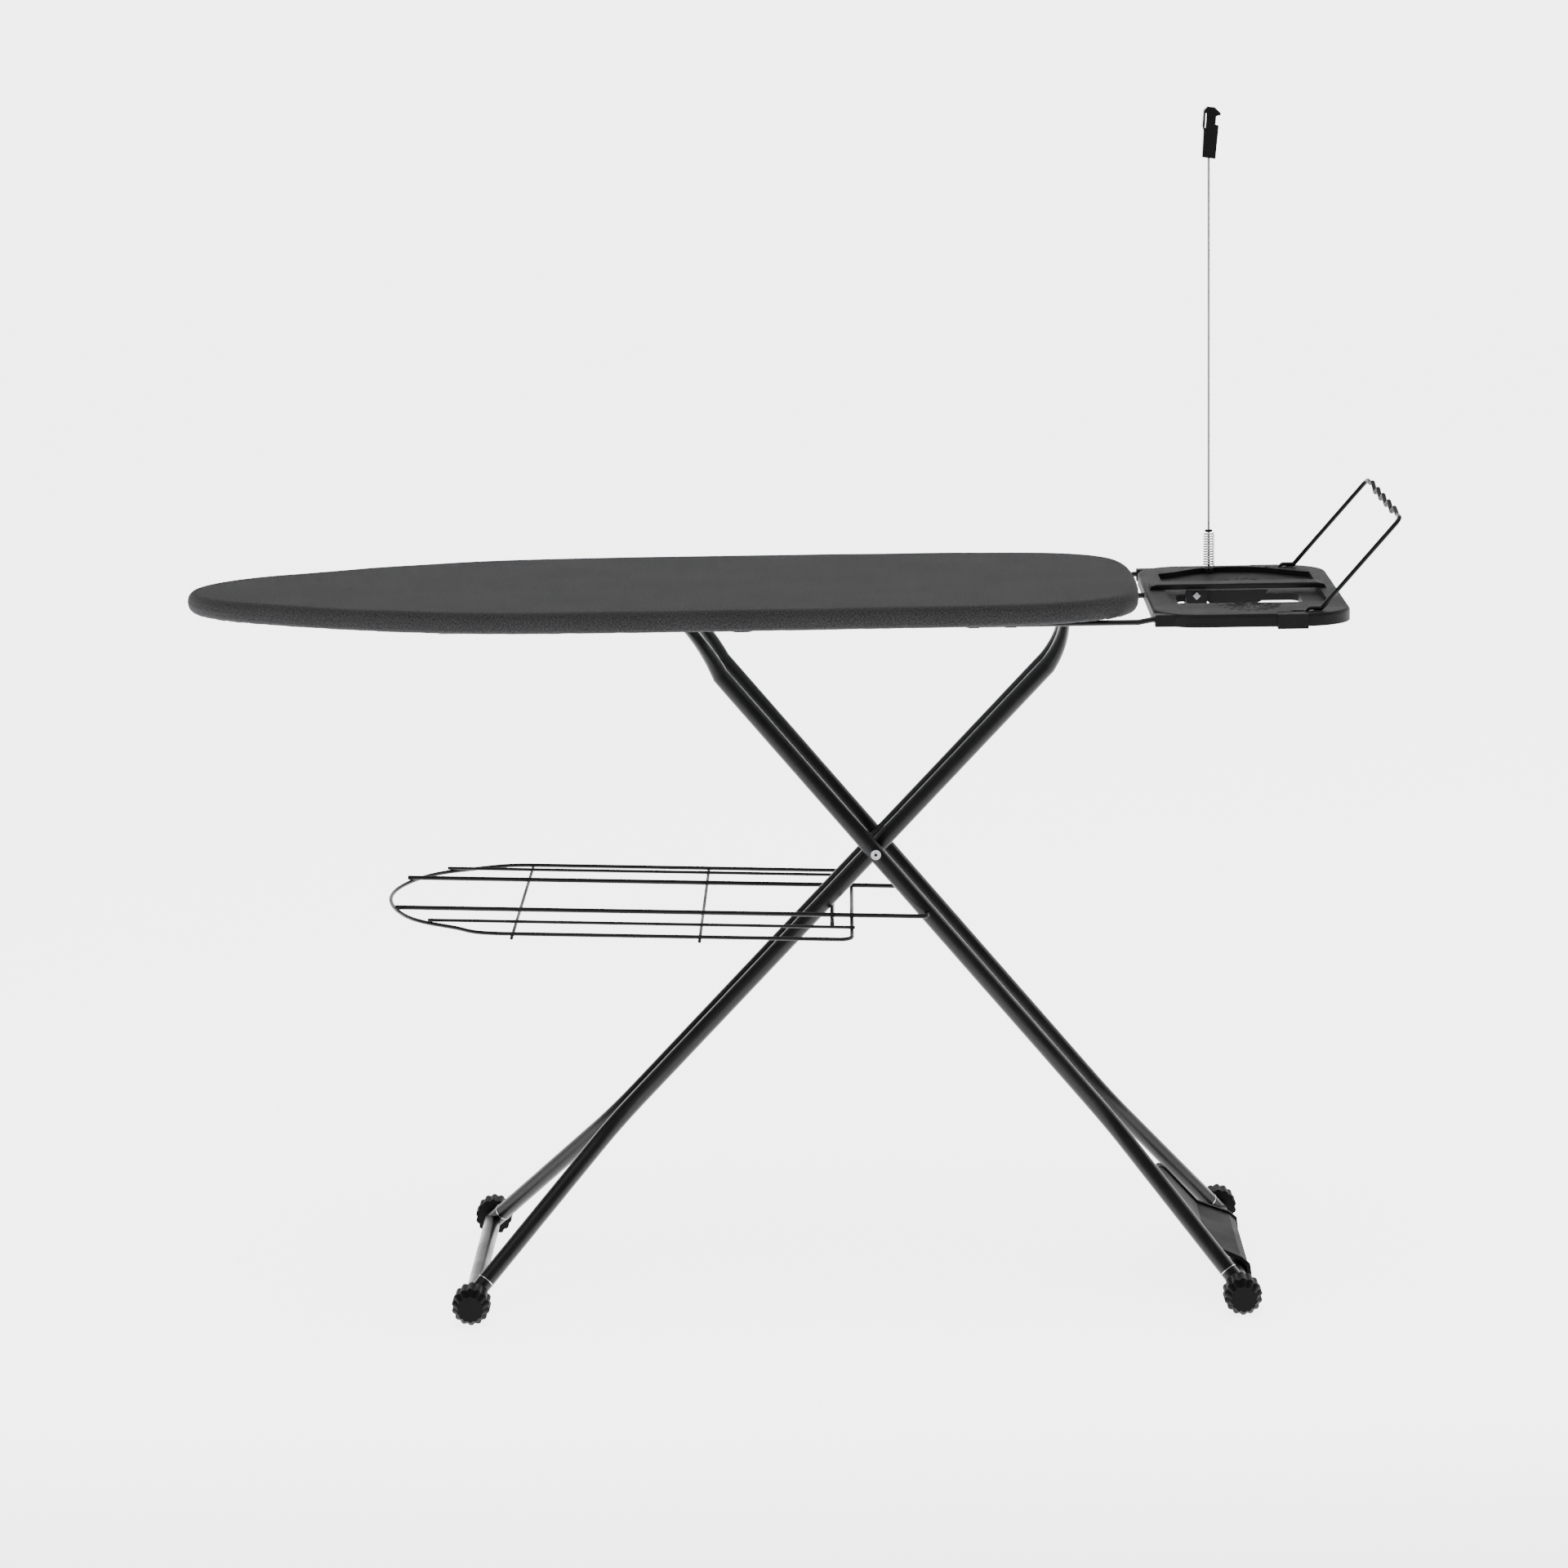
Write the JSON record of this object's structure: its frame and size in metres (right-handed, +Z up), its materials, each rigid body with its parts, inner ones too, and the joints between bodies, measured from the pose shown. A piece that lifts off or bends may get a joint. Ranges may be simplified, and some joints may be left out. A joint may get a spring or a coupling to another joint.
{
  "type": "ironing board",
  "caption": "Folding ironing board with a padded top, an iron tray with a cable mast and hanger loop, crossed tube legs, capped feet and a wire shelf.",
  "frame": {"origin": "floor level, under the middle of the overall length and width", "axes": "+Z up, +X from the pointed nose towards the iron tray and hanger loop, +Y across, towards the side of the cable mast"},
  "size_m": [1.539, 0.4782, 1.5092],
  "materials": {
    "cover_cloth": "matte",
    "padding": "matte",
    "deck_steel": "satin",
    "leg_paint": "satin",
    "wire_coat": "satin",
    "zinc": "satin",
    "moulded": "matte",
    "moulded_gloss": "gloss",
    "grip_coat": "satin"
  },
  "bodies": {
    "board": {"cover": "cover_cloth", "pad": "padding", "deck": "deck_steel", "slide_rails": "zinc", "hinge_bracket": "deck_steel", "deck_rivets": "zinc", "lever_block": "moulded", "lever_pin": "zinc", "tray": "moulded", "tray_grip_bar": "moulded", "tray_rods": "leg_paint", "centre_rod": "leg_paint", "tray_clamp": "moulded", "clamp_screw": "zinc", "rod_saddles": "leg_paint", "loop_clips": "moulded", "mast_socket": "moulded"},
    "inner_leg": {"inner_leg_tubes": "leg_paint", "inner_foot_bar": "leg_paint", "inner_foot_caps": "moulded", "inner_weld_rings": "zinc", "hinge_axle": "zinc", "hinge_spacers": "moulded", "shelf_rest_bar": "leg_paint"},
    "outer_leg": {"outer_leg_tubes": "leg_paint", "outer_foot_bar": "leg_paint", "outer_foot_caps": "moulded", "outer_weld_rings": "zinc", "slide_axle": "zinc", "slide_rollers": "moulded", "pivot_rivets": "zinc", "pivot_spacers": "moulded", "foot_guard": "moulded"},
    "shelf": {"shelf_frame": "wire_coat", "shelf_rails": "wire_coat", "shelf_long_wires": "wire_coat", "shelf_cross_wires": "wire_coat"},
    "lever": {"height_lever": "moulded"},
    "mast_foot": {"mast_ball": "moulded"},
    "mast": {"mast_rod": "zinc", "mast_spring": "zinc", "spring_seat": "moulded", "cord_clip": "moulded_gloss"},
    "loop": {"hanger_loop": "leg_paint", "hanger_bar": "grip_coat"}
  },
  "joints": [
    {"name": "fold", "type": "hinge", "parent": "board", "child": "inner_leg", "pos_m": [0.35661, 0, 0.884], "axis": [0, 1, 0], "range_deg": [0, 33]},
    {"name": "leg_cross", "type": "hinge", "parent": "inner_leg", "child": "outer_leg", "pos_m": [0.11078, 0, 0.577], "axis": [0, 1, 0], "range_deg": [-66, 0]},
    {"name": "shelf_swing", "type": "hinge", "parent": "outer_leg", "child": "shelf", "pos_m": [0.17572, 0, 0.499], "axis": [0, 1, 0], "range_deg": [0, 33]},
    {"name": "lever_pull", "type": "hinge", "parent": "board", "child": "lever", "pos_m": [-0.05305, 0, 0.891], "axis": [0, 0, 1], "range_deg": [0, 18], "stiffness_Nm_per_rad": 4, "springref_deg": -5.73},
    {"name": "mast_tilt", "type": "hinge", "parent": "board", "child": "mast_foot", "pos_m": [0.55755, 0.183, 0.901], "axis": [1, 0, 0], "range_deg": [-10, 10], "stiffness_Nm_per_rad": 0.8},
    {"name": "mast_sway", "type": "hinge", "parent": "mast_foot", "child": "mast", "pos_m": [0.55755, 0.183, 0.901], "axis": [0, 1, 0], "range_deg": [-10, 10], "stiffness_Nm_per_rad": 0.8},
    {"name": "loop_swing", "type": "hinge", "parent": "board", "child": "loop", "pos_m": [0.64755, 0, 0.899], "axis": [0, -1, 0], "range_deg": [0, 58]}
  ],
  "couplings": [
    {"joint": "leg_cross", "follows": "fold", "ratio": -2},
    {"joint": "shelf_swing", "follows": "fold", "ratio": 1}
  ]
}
